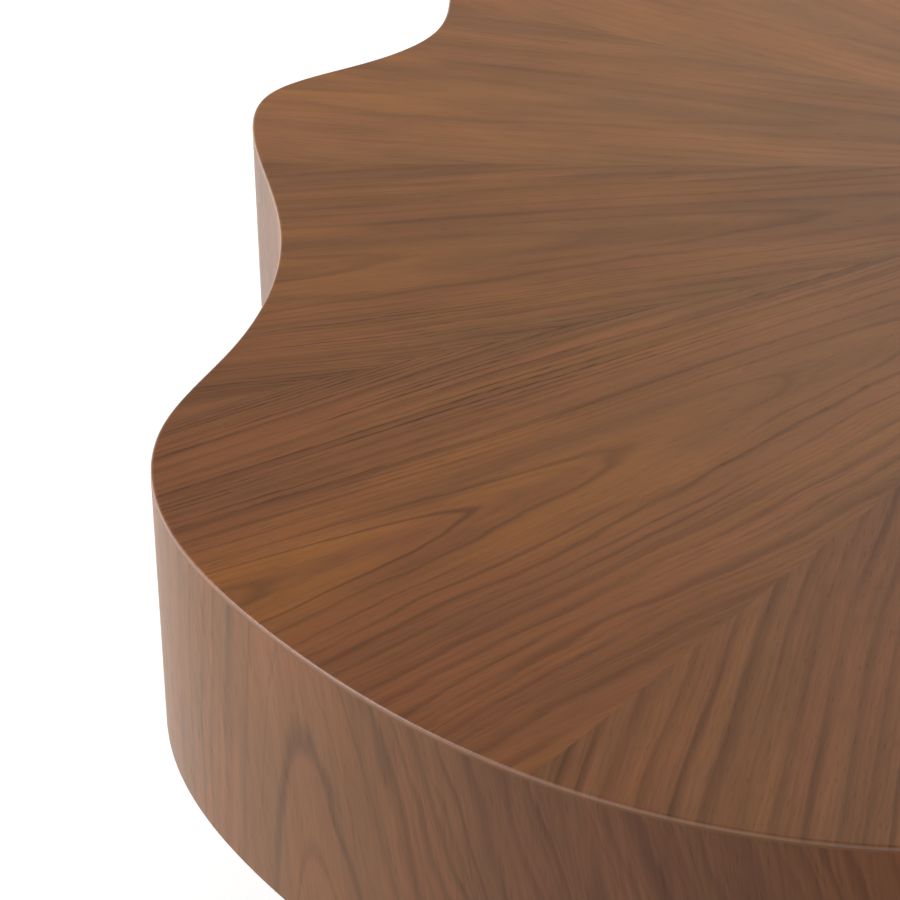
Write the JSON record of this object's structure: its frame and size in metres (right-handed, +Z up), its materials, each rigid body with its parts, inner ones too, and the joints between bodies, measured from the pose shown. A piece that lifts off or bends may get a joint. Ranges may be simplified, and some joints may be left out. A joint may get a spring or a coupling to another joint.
{
  "type": "coffee table",
  "caption": "Low coffee table: a thick slab with a wavy rim and a sunburst walnut veneer top, on stout round legs with levelling feet.",
  "frame": {"origin": "on the floor, below the middle of the sunburst, which is the middle of the table's box", "axes": "+X along the table's greatest length, +Z up"},
  "size_m": [1.1676, 1.0222, 0.36],
  "materials": {
    "sunburst_veneer": "satin lacquered walnut, grain running out from the middle",
    "side_veneer": "satin lacquered walnut, upright grain",
    "leg_veneer": "satin lacquered walnut, upright grain",
    "plywood": "bare birch plywood",
    "board": "fibreboard, stained and sealed below",
    "steel": "zinc plated steel",
    "foot_plastic": "black moulded nylon",
    "felt": "pressed wool felt"
  },
  "bodies": {
    "table": {"top_leaf_01": "sunburst_veneer", "top_leaf_02": "sunburst_veneer", "top_leaf_03": "sunburst_veneer", "top_leaf_04": "sunburst_veneer", "top_leaf_05": "sunburst_veneer", "top_leaf_06": "sunburst_veneer", "top_leaf_07": "sunburst_veneer", "top_leaf_08": "sunburst_veneer", "top_leaf_09": "sunburst_veneer", "top_leaf_10": "sunburst_veneer", "top_leaf_11": "sunburst_veneer", "top_leaf_12": "sunburst_veneer", "side_veneer_1": "side_veneer", "side_veneer_2": "side_veneer", "side_veneer_3": "side_veneer", "side_veneer_4": "side_veneer", "rim_core": "plywood", "top_panel": "board", "bottom_panel": "board", "long_rib_1": "plywood", "long_rib_2": "plywood", "long_rib_3": "plywood", "cross_rib_1": "plywood", "cross_rib_2": "plywood", "leg_block_1": "plywood", "leg_block_2": "plywood", "leg_block_3": "plywood", "leg_block_4": "plywood", "leg_1_skin": "leg_veneer", "leg_1_core": "plywood", "leg_1_head": "plywood", "leg_1_plug": "plywood", "leg_2_skin": "leg_veneer", "leg_2_core": "plywood", "leg_2_head": "plywood", "leg_2_plug": "plywood", "leg_3_skin": "leg_veneer", "leg_3_core": "plywood", "leg_3_head": "plywood", "leg_3_plug": "plywood", "leg_4_skin": "leg_veneer", "leg_4_core": "plywood", "leg_4_head": "plywood", "leg_4_plug": "plywood", "leg_inserts": "steel", "leg_studs": "steel", "leg_nuts": "steel", "foot_inserts": "steel"},
    "foot_pad_1": {"foot_1_pad": "foot_plastic", "foot_1_glide": "felt"},
    "foot_stem_1": {"foot_1_stem": "steel"},
    "foot_pad_2": {"foot_2_pad": "foot_plastic", "foot_2_glide": "felt"},
    "foot_stem_2": {"foot_2_stem": "steel"},
    "foot_pad_3": {"foot_3_pad": "foot_plastic", "foot_3_glide": "felt"},
    "foot_stem_3": {"foot_3_stem": "steel"},
    "foot_pad_4": {"foot_4_pad": "foot_plastic", "foot_4_glide": "felt"},
    "foot_stem_4": {"foot_4_stem": "steel"}
  },
  "joints": [
    {"name": "foot_1_lift", "type": "slide", "parent": "table", "child": "foot_pad_1", "axis": [0, 0, -1], "range_m": [0, 0.012]},
    {"name": "foot_1_turn", "type": "hinge", "parent": "foot_pad_1", "child": "foot_stem_1", "pos_m": [0.37493, -0.12498, 0.0108], "axis": [0, 0, -1], "range_deg": [-10, 2890]},
    {"name": "foot_2_lift", "type": "slide", "parent": "table", "child": "foot_pad_2", "axis": [0, 0, -1], "range_m": [0, 0.012]},
    {"name": "foot_2_turn", "type": "hinge", "parent": "foot_pad_2", "child": "foot_stem_2", "pos_m": [0.16527, 0.30018, 0.0108], "axis": [0, 0, -1], "range_deg": [-10, 2890]},
    {"name": "foot_3_lift", "type": "slide", "parent": "table", "child": "foot_pad_3", "axis": [0, 0, -1], "range_m": [0, 0.012]},
    {"name": "foot_3_turn", "type": "hinge", "parent": "foot_pad_3", "child": "foot_stem_3", "pos_m": [-0.37493, 0.12498, 0.0108], "axis": [0, 0, -1], "range_deg": [-10, 2890]},
    {"name": "foot_4_lift", "type": "slide", "parent": "table", "child": "foot_pad_4", "axis": [0, 0, -1], "range_m": [0, 0.012]},
    {"name": "foot_4_turn", "type": "hinge", "parent": "foot_pad_4", "child": "foot_stem_4", "pos_m": [-0.16527, -0.30018, 0.0108], "axis": [0, 0, -1], "range_deg": [-10, 2890]}
  ],
  "couplings": [
    {"joint": "foot_1_turn", "follows": "foot_1_lift", "rad_per_m": 4188.8},
    {"joint": "foot_2_turn", "follows": "foot_2_lift", "rad_per_m": 4188.8},
    {"joint": "foot_3_turn", "follows": "foot_3_lift", "rad_per_m": 4188.8},
    {"joint": "foot_4_turn", "follows": "foot_4_lift", "rad_per_m": 4188.8}
  ]
}
